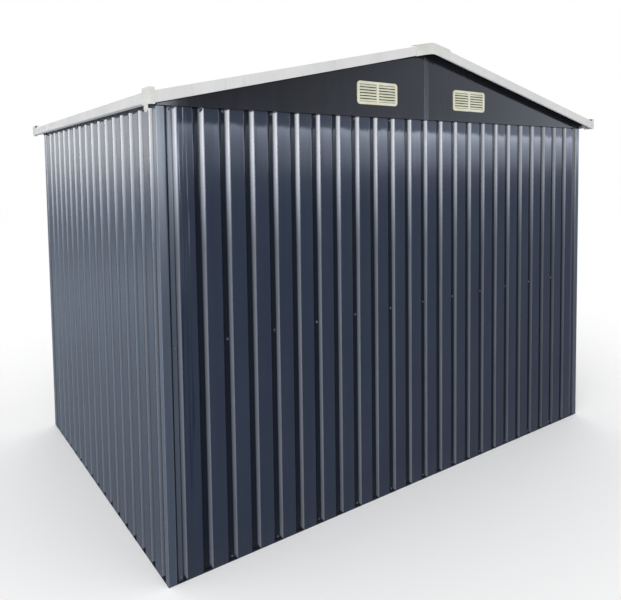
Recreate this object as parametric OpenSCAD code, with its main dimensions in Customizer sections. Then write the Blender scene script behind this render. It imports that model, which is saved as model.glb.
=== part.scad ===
// Gable-roofed metal garden shed, built from folded and ribbed steel sheet.
// Millimetres, Z up. The origin is on the ground under the middle of the shed.
// +Y is the closed gable end, -Y the door end, +X and -X are the eaves.

/* [Shed] */
// Width over the side walls' outer faces
wall_w = 2500; // [1900:50:3600]
// Depth over the end walls' outer faces
wall_d = 1700; // [1200:50:3000]
// Height of the side walls' top edge
wall_h = 1655; // [1300:5:2200]
// Height of the end walls' top edge above the side walls' top edge
end_lift = 2; // [0:1:12]
// Slope of the roof in degrees
roof_pitch = 12.75; // [6:0.25:25]
// Height of the roof's underside above the wall sheets, over a side wall
eave_lift = 25; // [20:1:60]

/* [Ribbed sheet] */
// Distance from groove to groove
rib_pitch = 100; // [80:1:125]
// Depth of a groove
rib_depth = 12; // [8:0.5:18]
// Width of a groove's bottom
rib_bottom = 19; // [12:1:28]
// Width of each sloping side of a groove
rib_side = 11; // [7:1:15]
// Thickness of the sheet
sheet_t = 0.3; // [0.25:0.05:0.8]

/* [Frame] */
// Thickness of rails, posts and beams
frame_t = 0.6; // [0.5:0.1:1.5]
// Height of the base rails' web
base_h = 40; // [25:1:60]
// Width of the flange that a rail turns into the shed
rail_flange = 25; // [15:1:35]
// Height of the top rails' web below the wall's top edge
rail_drop = 35; // [25:1:50]
// Height of the middle braces' centre line
brace_z = 830; // [500:10:1100]
// Height of a middle brace
brace_h = 40; // [25:1:60]
// Width of a middle brace's flanges
brace_flange = 15; // [8:1:25]
// Height of the ridge beam's and the purlins' sides
beam_h = 30; // [20:1:60]
// Width of the ridge beam
beam_w = 60; // [40:1:90]
// Distance of the gable panels' faces outside the end walls
gable_out = 12; // [0:1:20]
// Width of the strip over the joint of two gable panels
strip_w = 24; // [16:1:40]
// Width of that strip on the panel that carries it
strip_seat = 8; // [4:1:12]

/* [Trims] */
// Distance of the verge trims' faces from the end walls
verge_out = 60; // [45:1:90]
// Distance of the eave trims' faces from the side walls
eave_out = 44; // [35:1:70]
// Height of the verge trims
trim_h = 40; // [30:1:60]
// Height of the eave trims
eave_h = 36; // [28:1:60]
// Thickness of the trims
trim_t = 0.8; // [0.5:0.1:1.5]
// Distance from the roof's underside down to a verge trim's lower edge
verge_drop = 16; // [10:1:24]
// Distance from the roof's edge down to an eave trim's lower edge
eave_drop = 10; // [8:1:20]
// Width of a verge trim's lower lip
verge_lip = 12; // [8:1:32]
// Width of an eave trim's lower lip
eave_lip = 26; // [12:1:30]
// Thickness of the moulded caps
cap_t = 2; // [1.5:0.5:3]
// Length of a corner cap along the eave
cap_along_eave = 60; // [40:1:90]
// Length of a corner cap along the verge
cap_along_verge = 21; // [16:1:40]
// Height of a corner cap
cap_h = 55; // [48:1:75]
// Width of the tongue below the corner cap at the +X +Y corner
tongue_w = 34; // [20:1:45]
// Length of the tongue below the corner cap at the +X +Y corner
tongue_h = 24; // [18:1:45]
// Half width of a ridge end cap
ridge_cap_half = 107; // [70:1:140]
// Half width of the sheet cap along the ridge
ridge_sheet_half = 90; // [60:1:130]

/* [Vents] */
// Width of a gable vent
vent_w = 222; // [150:1:260]
// Height of a gable vent
vent_h = 95; // [70:1:120]
// Distance of a vent's centre from the gable's middle
vent_x = 288; // [200:1:450]
// Height of a vent's centre above the side walls' top edge
vent_lift = 100; // [75:1:130]
// Width of a vent's frame
vent_rim = 12; // [8:1:16]
// Slats in each half of a vent
vent_slats = 6; // [3:1:8]

/* [Doors] */
// Width of the doorway
door_w = 1300; // [900:50:1500]
// Depth of the doors' faces behind the end wall's outer face
door_set = 27; // [26:1:32]
// Thickness of a door leaf
door_t = 20; // [16:1:22]
// Distance by which a leaf passes behind its jamb
door_lap = 20; // [10:1:40]
// Width of a door jamb
jamb_w = 28; // [15:1:40]
// Width of a leaf's edging
door_edge = 26; // [18:1:28]
// Depth of the head track and of the sill
track_deep = 60; // [56:1:75]
// Height of the head track
track_h = 55; // [40:1:80]
// Height of the sill's inner edge
guide_h = 22; // [12:1:35]
// Height of the door pulls' middle
pull_z = 900; // [700:10:1200]
// Length of a door pull
pull_h = 150; // [100:5:250]

/* [Hidden] */

half_w = wall_w / 2;
half_d = wall_d / 2;
end_h = wall_h + end_lift;         // height of the end walls' and the posts' top edge
first_groove = rib_pitch / 2;      // from a corner to the first groove's middle
inner_face = rib_depth + sheet_t;  // depth of the sheet's inner face at a groove
rail_back = inner_face + frame_t;  // depth of a rail's inner face
rail_deep = rail_back + rail_flange;
lap_gap = 1;                       // a lapped edge stops this far before the next fold
fit_gap = 0.3;                     // running gap at the doors
seat_gap = 0.05;                   // gap under what lies on a slope
end_sheets = 4;                    // sheets, each a node, in the closed end wall
side_sheets = 2;                   // sheets, each a node, in a side wall
roof_inset = 6;                    // the roof sheets stop this far inside the trims' faces
ridge_gap = 15;                    // the roof sheets start this far from the ridge line
post_clear = 2;                    // rails and braces stop this far from the posts' laps
verge_stop = 3;                    // the verge trims stop this far inside the eave trims' faces
eave_stop = 36;                    // the eave trims stop this far inside the verge trims' faces
strip_stop = 15;                   // the gable strip stops this far below the verge trims
vent_seat = 10;                    // a vent's frame rests this far on its panel
hang_gap = 5;                      // the leaves stop this far below the track's top
cut_over = 1;                      // a cutting or joining solid reaches this far past its face
slope = tan(roof_pitch);
eave_z = wall_h + eave_lift;
ridge_z = eave_z + half_w * slope;
post_leg = first_groove + rib_bottom / 2 - lap_gap;
verge_y = half_d + verge_out;
eave_x = half_w + eave_out;
eave_low = eave_z - eave_out * slope - eave_drop;
corner_low = eave_z - eave_out * slope - verge_drop;
gable_back = rail_flange + frame_t; // depth of the gable flanges' edges in the end walls
gable_flange = gable_out + gable_back;
gable_y = half_d + gable_out;
leaf_top = end_h - frame_t - hang_gap;
sill_top = frame_t + fit_gap;

sheet_colour = "#2f3846";
frame_colour = "#3a4048";
trim_colour = "#dcdcdc";
cap_colour = "#d2d3ce";
vent_colour = "#d8d8c4";

// Height of the roof's underside at a distance x from the ridge
function roof_z(x) = ridge_z - abs(x) * slope;

// The points of a list in the opposite order
function backwards(points) = [for (i = [len(points) - 1:-1:0]) points[i]];

function unit(v) = v / norm(v);
function left_of(v) = [-v[1], v[0]];

// A path moved t to its left, with mitred corners
function beside(path, t) = [
    for (i = [0:len(path) - 1])
        let (
            before = left_of(unit(path[max(i, 1)] - path[max(i, 1) - 1])),
            last = min(i, len(path) - 2),
            after = left_of(unit(path[last + 1] - path[last])),
            middle = unit(before + after)
        )
        path[i] + middle * t / (middle * before)
];

// Sheet of thickness t folded along a path, which is the sheet's right-hand face
module folded(path, t) {
    polygon(concat(path, backwards(beside(path, t))));
}

// Frames for the four walls: X along the wall, Y into the shed from its outer face
module on_front() { translate([0, -half_d]) children(); }
module on_rear() { rotate([0, 0, 180]) translate([0, -half_d]) children(); }
module on_right() { rotate([0, 0, 90]) translate([0, -half_w]) children(); }
module on_left() { rotate([0, 0, 270]) translate([0, -half_w]) children(); }

// A folded section, drawn as depth and height, run along a wall from x0 to x1
module along_wall(x0, x1) {
    translate([x0, 0, 0])
        rotate([90, 0, 90])
            linear_extrude(x1 - x0) children();
}

// A section drawn across the shed as X and Z, run from y0 to y1
module across(y0, y1) {
    translate([0, y1, 0])
        rotate([90, 0, 0])
            linear_extrude(y1 - y0) children();
}

// ---- Ribbed sheet ----

// The four corners of a groove with its middle at c
function groove(c, deep) = [
    [c - rib_bottom / 2 - rib_side, 0], [c - rib_bottom / 2, deep],
    [c + rib_bottom / 2, deep], [c + rib_bottom / 2 + rib_side, 0]
];

// Number of grooves on a wall, and the middle of groove i from the wall's middle
function groove_count(length) = round((length - rib_pitch) / rib_pitch) + 1;
function groove_x(length, i) =
    -length / 2 + first_groove + i * (length - rib_pitch) / (groove_count(length) - 1);

// Start of a sheet: under a post's lap, or lapped over the sheet before it
function sheet_start(c, over) =
    let (deep = over ? rib_depth - sheet_t : rib_depth)
    [
        [c - rib_bottom / 2 + (over ? lap_gap : 0), deep],
        [c + rib_bottom / 2 + rib_side * (rib_depth - deep) / rib_depth, deep],
        [c + rib_bottom / 2 + rib_side, 0]
    ];

// End of a sheet in the bottom of a groove
function sheet_end(c) = [
    [c - rib_bottom / 2 - rib_side, 0], [c - rib_bottom / 2, rib_depth],
    [c + rib_bottom / 2 - lap_gap, rib_depth]
];

// Outline of a sheet that runs from groove a to groove b of a wall
function sheet_path(length, a, b, over) = concat(
    sheet_start(groove_x(length, a), over),
    [for (i = [a + 1:1:b - 1]) each groove(groove_x(length, i), rib_depth)],
    sheet_end(groove_x(length, b))
);

// Sheet with its top edge at a height
module wall_sheet(path, top) {
    color(sheet_colour)
        translate([0, 0, frame_t])
            linear_extrude(top - frame_t) folded(path, sheet_t);
}

// Sheet k of n, counted from the wall's left end as seen from outside
module wall_sheet_of(length, k, n, top) {
    last = groove_count(length) - 1;
    a = round(k * last / n);
    b = round((k + 1) * last / n);
    wall_sheet(sheet_path(length, a, b, k > 0), top);
}

module rear_wall_sheet(k) { on_rear() wall_sheet_of(wall_w, k, end_sheets, end_h); }
module right_wall_sheet(k) { on_right() wall_sheet_of(wall_d, k, side_sheets, wall_h); }
module left_wall_sheet(k) { on_left() wall_sheet_of(wall_d, k, side_sheets, wall_h); }

// Wall sheet between the front left post and the doorway, which ends on a flat
module front_wall_sheet() {
    length = half_w - door_w / 2;
    middle = -half_w + length / 2;
    path = concat(
        sheet_start(groove_x(length, 0), false),
        [for (i = [1:groove_count(length) - 1]) each groove(groove_x(length, i), rib_depth)],
        [[length / 2 - frame_t, 0]]
    );
    on_front() translate([middle, 0]) wall_sheet(path, end_h);
}

module front_wall_sheet_left() { front_wall_sheet(); }
module front_wall_sheet_right() { mirror([1, 0, 0]) front_wall_sheet(); }

// ---- Frame ----

// Post at a corner, with a leg along X and a leg along Y that lap the first grooves
module corner_post() {
    lap = rib_depth - frame_t;
    fold = first_groove - rib_bottom / 2 - rib_side * frame_t / rib_depth;
    flat = first_groove - rib_bottom / 2 - rib_side;
    path = [
        [lap, post_leg], [lap, fold], [0, flat], [0, 0],
        [flat, 0], [fold, lap], [post_leg, lap]
    ];
    color(sheet_colour)
        translate([0, 0, frame_t])
            linear_extrude(end_h - frame_t) folded(path, frame_t);
}

module front_left_corner_post() { translate([-half_w, -half_d]) corner_post(); }
module front_right_corner_post() { translate([half_w, -half_d]) rotate([0, 0, 90]) corner_post(); }
module rear_right_corner_post() { translate([half_w, half_d]) rotate([0, 0, 180]) corner_post(); }
module rear_left_corner_post() { translate([-half_w, half_d]) rotate([0, 0, 270]) corner_post(); }

// Plate along a wall, from depth y0 to y1 and height z0 to z1
module wall_plate(length, y0, y1, z0, z1) {
    translate([-length / 2, y0, z0]) cube([length, y1 - y0, z1 - z0]);
}

// Base rail: the sheets stand on its outer flange, against its web
module base_rail(foot_length, length) {
    color(frame_colour) {
        wall_plate(foot_length, 0, rail_back, 0, frame_t);
        wall_plate(length - 2 * rail_back, inner_face, rail_back, 0, base_h);
        wall_plate(length - 2 * rail_deep, inner_face, rail_deep, base_h - frame_t, base_h);
    }
}

module rear_base_rail() { on_rear() base_rail(wall_w, wall_w); }
module right_base_rail() { on_right() base_rail(wall_d - 2 * rail_back, wall_d); }
module left_base_rail() { on_left() base_rail(wall_d - 2 * rail_back, wall_d); }

// Sill: a base rail whose inner flange lies on the ground and guides the doors
module front_door_sill() {
    color(frame_colour) on_front() {
        wall_plate(wall_w, 0, rail_back, 0, frame_t);
        wall_plate(wall_w - 2 * rail_back, inner_face, rail_back, 0, base_h);
        wall_plate(wall_w - 2 * rail_deep, inner_face, track_deep, 0, frame_t);
        wall_plate(wall_w - 2 * rail_deep, track_deep - frame_t, track_deep, 0, guide_h);
    }
}

// Channel that the doors hang in, open downwards
module front_door_track() {
    half = half_w - rail_deep - post_clear;
    path = [
        [track_deep, end_h - track_h], [track_deep, end_h],
        [inner_face, end_h], [inner_face, end_h - track_h]
    ];
    color(frame_colour) on_front() along_wall(-half, half) folded(path, frame_t);
}

// Channel screwed to the inside of a wall at mid height
module wall_brace(length) {
    half = length / 2 - post_leg - post_clear;
    inner = inner_face + brace_flange;
    path = [
        [inner, brace_z + brace_h / 2], [inner_face, brace_z + brace_h / 2],
        [inner_face, brace_z - brace_h / 2], [inner, brace_z - brace_h / 2]
    ];
    color(frame_colour) along_wall(-half, half) folded(path, frame_t);
}

module wall_braces() {
    on_rear() wall_brace(wall_w);
    on_right() wall_brace(wall_d);
    on_left() wall_brace(wall_d);
}

// Angle behind the top edge of the closed end wall
module rear_top_rail() {
    half = half_w - post_leg - post_clear;
    path = [
        [rail_deep, end_h - frame_t], [rail_back, end_h - frame_t],
        [rail_back, end_h - rail_drop]
    ];
    color(frame_colour)
        on_rear() along_wall(-half, half) folded(backwards(path), frame_t);
}

// Rail on a side wall that carries the roof sheets on its sloping flange
module eave_rail() {
    half = half_d - gable_back;
    under = frame_t / cos(roof_pitch);
    path = [
        [rail_back, wall_h - rail_drop],
        [rail_back, eave_z + rail_back * slope - under],
        [rail_deep, eave_z + rail_deep * slope - under]
    ];
    color(frame_colour) along_wall(-half, half) folded(path, frame_t);
}

module right_eave_rail() { on_right() eave_rail(); }
module left_eave_rail() { on_left() eave_rail(); }

// Beam under the ridge, between the gable panels
module ridge_beam() {
    under = frame_t / cos(roof_pitch);
    shoulder = roof_z(beam_w / 2);
    low = shoulder - beam_h;
    path = [
        [-beam_w / 2, low], [-beam_w / 2, shoulder - under], [0, ridge_z - under],
        [beam_w / 2, shoulder - under], [beam_w / 2, low]
    ];
    color(frame_colour)
        across(-half_d + gable_back, half_d - gable_back) folded(path, frame_t);
}

// Channel under the middle of a roof slope
module roof_purlin() {
    x = half_w / 2;
    wide = x + rail_flange;
    under = frame_t / cos(roof_pitch);
    low = roof_z(x) - beam_h;
    path = [[wide, low], [x, low], [x, roof_z(x) - under], [wide, roof_z(wide) - under]];
    color(frame_colour)
        across(-half_d + gable_back, half_d - gable_back) folded(path, frame_t);
}

module roof_purlins() {
    roof_purlin();
    mirror([1, 0, 0]) roof_purlin();
}

// ---- Gables ----

// Outline in X and Z of the gable half on the +X side, up to the roof's underside
function gable_outline() = [[0, end_h], [half_w, end_h], [half_w, eave_z], [0, ridge_z]];

// Strip of height h below the roof's underside, from x0 to x1
function roof_strip(x0, x1, drop, h) = [
    [x0, roof_z(x0) - drop], [x1, roof_z(x1) - drop],
    [x1, roof_z(x1) - drop + h], [x0, roof_z(x0) - drop + h]
];

// Flat pan with flanges turned in all round and a hole behind the vent.
// The half on +X, with its face at y = 0 and the shed's inside towards -Y.
module gable_pan() {
    edge = frame_t / cos(roof_pitch);
    hole_w = vent_w - 2 * vent_seat;
    hole_h = vent_h - 2 * vent_seat;
    color(sheet_colour) {
        difference() {
            across(-frame_t, 0) polygon(gable_outline());
            translate([vent_x - hole_w / 2, -2 * frame_t, wall_h + vent_lift - hole_h / 2])
                cube([hole_w, 3 * frame_t, hole_h]);
        }
        across(-gable_flange, 0) polygon(roof_strip(0, half_w, edge, edge));
        translate([0, -gable_flange, end_h]) cube([half_w, gable_flange, frame_t]);
        translate([0, -gable_flange, end_h])
            cube([frame_t, gable_flange, ridge_z - end_h - edge]);
    }
}

// Flat strip on the right half that laps the joint of the two gable halves
module gable_joint_strip() {
    high = ridge_z - verge_drop - strip_stop;
    color(sheet_colour)
        translate([strip_seat - strip_w, 0, end_h]) cube([strip_w, frame_t, high - end_h]);
}

module rear_gable_panel_right() {
    translate([0, gable_y]) {
        gable_pan();
        gable_joint_strip();
    }
}

module rear_gable_panel_left() { translate([0, gable_y]) mirror([1, 0, 0]) gable_pan(); }
module front_gable_panel_left() { rotate([0, 0, 180]) rear_gable_panel_right(); }
module front_gable_panel_right() { rotate([0, 0, 180]) rear_gable_panel_left(); }

// Corner points of a rectangle with round corners, centred on the origin
function round_rect(w, h, r) = [
    for (q = [[1, 1, 0], [-1, 1, 90], [-1, -1, 180], [1, -1, 270]])
        for (a = [0:15:90])
            [q[0] * (w / 2 - r) + r * cos(q[2] + a), q[1] * (h / 2 - r) + r * sin(q[2] + a)]
];

// Moulded louvre: a frame with two columns of tilted slats, face towards +Y
module vent() {
    frame_out = 5;
    corner_r = 14;
    cell_r = 3;
    slat_t = 1.6;
    slat_w = 10;
    slat_tilt = 60;
    slat_out = 1.3;                 // a slat's middle stands this far out of the panel
    slat_seat = 1;                  // a slat's ends reach this far into the frame
    cell_w = (vent_w - 3 * vent_rim) / 2;
    cell_h = vent_h - 2 * vent_rim;
    cell_x = (cell_w + vent_rim) / 2;
    step = cell_h / vent_slats;
    color(vent_colour) {
        across(0, frame_out)
            difference() {
                polygon(round_rect(vent_w, vent_h, corner_r));
                for (side = [-1, 1])
                    translate([side * cell_x, 0])
                        polygon(round_rect(cell_w, cell_h, cell_r));
            }
        for (side = [-1, 1], i = [0:vent_slats - 1])
            translate([side * cell_x, slat_out, (i + 0.5) * step - cell_h / 2])
                rotate([-slat_tilt, 0, 0])
                    cube([cell_w + 2 * slat_seat, slat_w, slat_t], center = true);
    }
}

module rear_vents() {
    for (side = [-1, 1])
        translate([side * vent_x, gable_y, wall_h + vent_lift]) vent();
}

module front_vents() { rotate([0, 0, 180]) rear_vents(); }

// ---- Roof ----

// Sheet with raised ribs, laid down the +X slope
module roof_sheet() {
    length = 2 * (verge_y - roof_inset);
    count = round(length / rib_pitch);
    step = length / count;
    down = (eave_x - roof_inset) / cos(roof_pitch) - ridge_gap;
    path = concat(
        [[-length / 2, 0]],
        [for (i = [0:count - 1]) each groove(-length / 2 + (i + 0.5) * step, rib_depth)],
        [[length / 2, 0]]
    );
    color(sheet_colour)
        translate([0, 0, ridge_z + seat_gap])
            rotate([0, 90 + roof_pitch, 0])
                translate([0, 0, ridge_gap])
                    linear_extrude(down) rotate([0, 0, 90]) folded(path, sheet_t);
}

module right_roof_sheet() { roof_sheet(); }
module left_roof_sheet() { mirror([1, 0, 0]) roof_sheet(); }

// Folded sheet over the ridge, lying on the roof sheets' ribs
module ridge_cap() {
    lift = inner_face / cos(roof_pitch) + 2 * seat_gap;
    edge = roof_z(ridge_sheet_half) + lift;
    path = [[-ridge_sheet_half, edge], [0, ridge_z + lift], [ridge_sheet_half, edge]];
    color(sheet_colour)
        across(-verge_y + roof_inset, verge_y - roof_inset) folded(path, sheet_t);
}

// ---- Trims ----

// Channel on the sloping edge of the +X roof slope, at the +Y end
module verge_trim() {
    x1 = eave_x - verge_stop;
    edge = trim_t / cos(roof_pitch);
    top_lip = 15;
    color(trim_colour) {
        across(verge_y - trim_t, verge_y) polygon(roof_strip(0, x1, verge_drop, trim_h));
        across(verge_y - verge_lip, verge_y) polygon(roof_strip(0, x1, verge_drop, edge));
        across(verge_y - verge_lip, verge_y - verge_lip + trim_t)
            polygon(roof_strip(0, x1, verge_drop, verge_drop));
        across(verge_y - top_lip, verge_y)
            polygon(roof_strip(0, x1, verge_drop - trim_h + edge, edge));
    }
}

module rear_right_verge_trim() { verge_trim(); }
module rear_left_verge_trim() { mirror([1, 0, 0]) verge_trim(); }
module front_left_verge_trim() { rotate([0, 0, 180]) verge_trim(); }
module front_right_verge_trim() { mirror([0, 1, 0]) verge_trim(); }

// Channel along the +X eave, which carries the roof sheets' lower edge
module eave_trim() {
    half = verge_y - eave_stop;
    inner = eave_x - eave_lip;
    top_lip = 12;
    path = [
        [inner, roof_z(inner + trim_t)], [inner, eave_low], [eave_x, eave_low],
        [eave_x, eave_low + eave_h], [eave_x - top_lip, eave_low + eave_h]
    ];
    color(trim_colour) across(-half, half) folded(path, trim_t);
}

module right_eave_trim() { eave_trim(); }
module left_eave_trim() { mirror([1, 0, 0]) eave_trim(); }

// Tongue below the cap at the +X +Y corner, round at its foot
module corner_tongue() {
    tongue_in = 27;                 // from the verge trim's face to the tongue's middle
    tongue_y = verge_y - tongue_in;
    round_z = corner_low - tongue_h + tongue_w / 2;
    translate([eave_x, tongue_y, round_z])
        rotate([0, 90, 0]) cylinder(h = cap_t, d = tongue_w, $fn = 48);
    translate([eave_x, tongue_y - tongue_w / 2, round_z])
        cube([cap_t, tongue_w, corner_low + cut_over - round_z]);
}

// Moulded cap over the trims' ends at the +X +Y corner
module corner_cap(with_tongue) {
    x0 = eave_x + cap_t - cap_along_verge;
    y0 = verge_y + cap_t - cap_along_eave;
    color(cap_colour) {
        translate([eave_x, y0, corner_low]) cube([cap_t, cap_along_eave, cap_h]);
        translate([x0, verge_y, corner_low]) cube([cap_along_verge, cap_t, cap_h]);
        translate([x0, y0, corner_low + cap_h - cap_t])
            cube([cap_along_verge, cap_along_eave, cap_t]);
        if (with_tongue) corner_tongue();
    }
}

module corner_caps() {
    for (flip_x = [0, 1], flip_y = [0, 1])
        mirror([flip_x, 0, 0]) mirror([0, flip_y, 0]) corner_cap(flip_x + flip_y == 0);
}

// Moulded cap over the verge trims' upper ends at the +Y end
module ridge_end_cap() {
    over = 7;                       // height above the verge trims
    under = 2;                      // depth below the verge trims
    soft = 45;                      // reach of the rounding at the peak
    back = 30;                      // length back over the roof
    high = ridge_z - verge_drop + trim_h;
    low = ridge_z - verge_drop;
    steps = 12;
    xs = [for (i = [-steps:steps]) ridge_cap_half * i / steps];
    top = [for (x = xs) [x, high + over - slope * sqrt(x * x + soft * soft / 4)]];
    bottom = [for (x = xs) [x, low - under - slope * sqrt(x * x + soft * soft / 4)]];
    seat = [for (x = xs) [x, high + seat_gap - slope * abs(x)]];
    color(cap_colour) {
        across(verge_y, verge_y + cap_t) polygon(concat(bottom, backwards(top)));
        across(verge_y - back, verge_y) polygon(concat(seat, backwards(top)));
    }
}

module ridge_end_caps() {
    ridge_end_cap();
    mirror([0, 1, 0]) ridge_end_cap();
}

// ---- Doors ----

// Channel round the free edge of the front wall sheet on the +X side
module door_jamb() {
    jamb_gap = 1;                   // between the jamb and the leaf behind it
    deep = door_set - frame_t - jamb_gap;
    path = [[jamb_w, deep], [0, deep], [0, -frame_t], [jamb_w, -frame_t]];
    color(sheet_colour)
        on_front()
            difference() {
                translate([door_w / 2, 0, frame_t])
                    linear_extrude(end_h - frame_t) folded(path, frame_t);
                translate([door_w / 2 - cut_over, inner_face, 0])
                    cube([jamb_w + 2 * cut_over, door_set, base_h]);
                translate([door_w / 2 - cut_over, inner_face, end_h - track_h])
                    cube([jamb_w + 2 * cut_over, door_set, track_h + cut_over]);
            }
}

module door_jambs() {
    door_jamb();
    mirror([1, 0, 0]) door_jamb();
}

// Channel that edges a leaf: path round the edge at x = 0, thickness inwards
function edging_path() = [
    [door_edge, door_t], [0, door_t], [0, -frame_t], [door_edge, -frame_t]
];

// Upright pull on a leaf's face, which is at y = 0 with the outside towards -Y
module door_pull() {
    pull_w = 14;
    reach = 18;
    bar = 6;
    end = pull_h / 2;
    foot = end - 18;                // height of a foot's inner end from the pull's middle
    color(trim_colour)
        rotate([90, 0, 90])
            linear_extrude(pull_w, center = true)
                polygon([
                    [0, -end], [0, -foot], [bar - reach, -foot], [bar - reach, foot], [0, foot], [0, end],
                    [-reach, end - bar], [-reach, bar - end]
                ]);
}

// Sliding leaf that closes the half of the doorway on the +X side
module door_leaf() {
    x0 = fit_gap;
    wide = door_w / 2 + door_lap - x0;
    high = leaf_top - sill_top;
    path = concat(
        [[-wide / 2 + frame_t, 0]],
        [for (i = [0:groove_count(wide) - 1]) each groove(groove_x(wide, i), rib_depth)],
        [[wide / 2 - frame_t, 0]]
    );
    on_front() translate([x0, door_set, sill_top]) {
        color(sheet_colour) {
            translate([wide / 2, 0, frame_t])
                linear_extrude(high - 2 * frame_t) folded(path, sheet_t);
            linear_extrude(high) folded(edging_path(), frame_t);
            translate([wide, 0, 0]) mirror([1, 0, 0])
                linear_extrude(high) folded(edging_path(), frame_t);
            for (flip = [0, 1])
                translate([0, 0, flip * high]) mirror([0, 0, flip])
                    along_wall(0, wide) rotate([0, 0, 90]) mirror([0, 1]) folded(edging_path(), frame_t);
        }
        translate([door_edge / 2, -frame_t, pull_z]) door_pull();
    }
}

module right_door_leaf() { door_leaf(); }
module left_door_leaf() { mirror([1, 0, 0]) door_leaf(); }

rear_base_rail();
front_door_sill();
left_base_rail();
right_base_rail();
rear_right_corner_post();
rear_left_corner_post();
front_right_corner_post();
front_left_corner_post();
rear_wall_sheet(0);  // rear_wall_sheet_1
rear_wall_sheet(1);  // rear_wall_sheet_2
rear_wall_sheet(2);  // rear_wall_sheet_3
rear_wall_sheet(3);  // rear_wall_sheet_4
right_wall_sheet(0);  // right_wall_sheet_1
right_wall_sheet(1);  // right_wall_sheet_2
left_wall_sheet(0);  // left_wall_sheet_1
left_wall_sheet(1);  // left_wall_sheet_2
front_wall_sheet_right();
front_wall_sheet_left();
wall_braces();
right_eave_rail();
left_eave_rail();
rear_top_rail();
front_door_track();
rear_gable_panel_right();
rear_gable_panel_left();
front_gable_panel_right();
front_gable_panel_left();
rear_vents();
front_vents();
ridge_beam();
roof_purlins();
right_roof_sheet();
left_roof_sheet();
ridge_cap();
rear_right_verge_trim();
rear_left_verge_trim();
front_right_verge_trim();
front_left_verge_trim();
right_eave_trim();
left_eave_trim();
corner_caps();
ridge_end_caps();
door_jambs();
right_door_leaf();
left_door_leaf();
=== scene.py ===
"""Looks of a gable-roofed metal garden shed: bent sheet with rounded folds, moulded caps and
vents, screws and paint. Metres, Z up, +Y the closed gable end, -Y the door end."""

from math import atan2, cos, hypot, pi, radians, sin, sqrt, tan

import bmesh
import bpy
from mathutils import Matrix, Vector


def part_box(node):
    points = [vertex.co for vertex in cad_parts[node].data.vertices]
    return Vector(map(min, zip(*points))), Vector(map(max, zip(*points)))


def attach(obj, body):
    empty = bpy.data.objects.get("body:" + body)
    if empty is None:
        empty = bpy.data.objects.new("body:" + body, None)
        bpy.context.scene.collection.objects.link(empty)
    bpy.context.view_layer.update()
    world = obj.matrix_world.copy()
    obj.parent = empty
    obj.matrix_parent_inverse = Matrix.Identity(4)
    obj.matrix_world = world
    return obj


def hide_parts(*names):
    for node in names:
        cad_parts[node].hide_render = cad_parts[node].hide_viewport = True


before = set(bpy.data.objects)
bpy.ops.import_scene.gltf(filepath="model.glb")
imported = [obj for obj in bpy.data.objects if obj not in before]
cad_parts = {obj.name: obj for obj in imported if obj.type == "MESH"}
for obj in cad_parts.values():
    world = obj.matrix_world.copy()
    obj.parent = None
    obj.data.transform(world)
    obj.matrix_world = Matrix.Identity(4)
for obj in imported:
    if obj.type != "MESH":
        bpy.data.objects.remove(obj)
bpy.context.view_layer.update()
MM = 0.001

# ---- Camera ----

CAMERA_AT = Vector((1.989, 2.775, 1.429))
HEADING = radians(144.723)
LOOK_DOWN = radians(3.364)
TILT = radians(-0.755)
SENSOR_W = 36
FOCAL_LENGTH = 34.849275
SHIFT_X = -0.001
SHIFT_Y = -0.1484


def place_camera():
    forward = Vector((-sin(HEADING) * cos(LOOK_DOWN), cos(HEADING) * cos(LOOK_DOWN), -sin(LOOK_DOWN)))
    level = forward.cross(Vector((0, 0, 1))).normalized()
    upright = level.cross(forward)
    across = level * cos(TILT) + upright * sin(TILT)
    up = upright * cos(TILT) - level * sin(TILT)
    data = bpy.data.cameras.new("camera")
    data.sensor_width = SENSOR_W
    data.lens = FOCAL_LENGTH
    data.shift_x = SHIFT_X
    data.shift_y = SHIFT_Y
    data.clip_start = 0.05
    data.clip_end = 200
    camera = bpy.data.objects.new("camera", data)
    bpy.context.scene.collection.objects.link(camera)
    turn = Matrix((across, up, -forward)).transposed()
    camera.matrix_world = Matrix.Translation(CAMERA_AT) @ turn.to_4x4()
    bpy.context.scene.camera = camera


place_camera()

# ---- Sizes, read from the frame where it gives them ----

HALF_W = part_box("right_wall_sheet_1")[1].x
HALF_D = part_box("rear_wall_sheet_1")[1].y
END_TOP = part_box("rear_wall_sheet_1")[1].z
SIDE_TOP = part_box("right_wall_sheet_1")[1].z
VERGE_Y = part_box("rear_right_verge_trim")[1].y
EAVE_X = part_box("right_eave_trim")[1].x
GABLE_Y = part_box("rear_gable_panel_left")[1].y

# The roof's underside: its height over the side walls' outer faces, its slope and its peak
EAVE_LIFT = 25 * MM
EAVE_Z = SIDE_TOP + EAVE_LIFT
SLOPE_ANGLE = radians(12.75)
SLOPE = tan(SLOPE_ANGLE)
RIDGE_Z = EAVE_Z + HALF_W * SLOPE

# Ribs: their spacing, and a groove's depth, flat bottom and sloping side
PITCH = 100 * MM
DEPTH = 12 * MM
BOTTOM = 19 * MM
SIDE = 11 * MM
FIRST = PITCH / 2

# Thicknesses: ribbed sheet, posts and gables, trims, mouldings
SHEET = 0.3 * MM
STEEL = 0.6 * MM
TRIM = 0.8 * MM
CAP = 2 * MM

# Sheets and posts' legs end this far short of the far edge of the groove bottom they lap in
LAP = 2.6 * MM
POST_LEG = FIRST + BOTTOM / 2 - LAP
GABLE_FLANGE = 25 * MM + STEEL

# Doorway, the leaves' place behind the wall's face, their thickness and edging
DOOR_W = 1300 * MM
DOOR_SET = 27 * MM
DOOR_T = 20 * MM
DOOR_EDGE = 26 * MM

# Closeness of a point that an operator has put exactly where it is looked for
NEAR = 0.01 * MM

FRONT, RIGHT, REAR, LEFT = 0, pi / 2, pi, 3 * pi / 2


def roof_z(x):
    """Height of the roof's underside"""
    return RIDGE_Z - abs(x) * SLOPE


# ---- Workshop helpers ----


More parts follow.
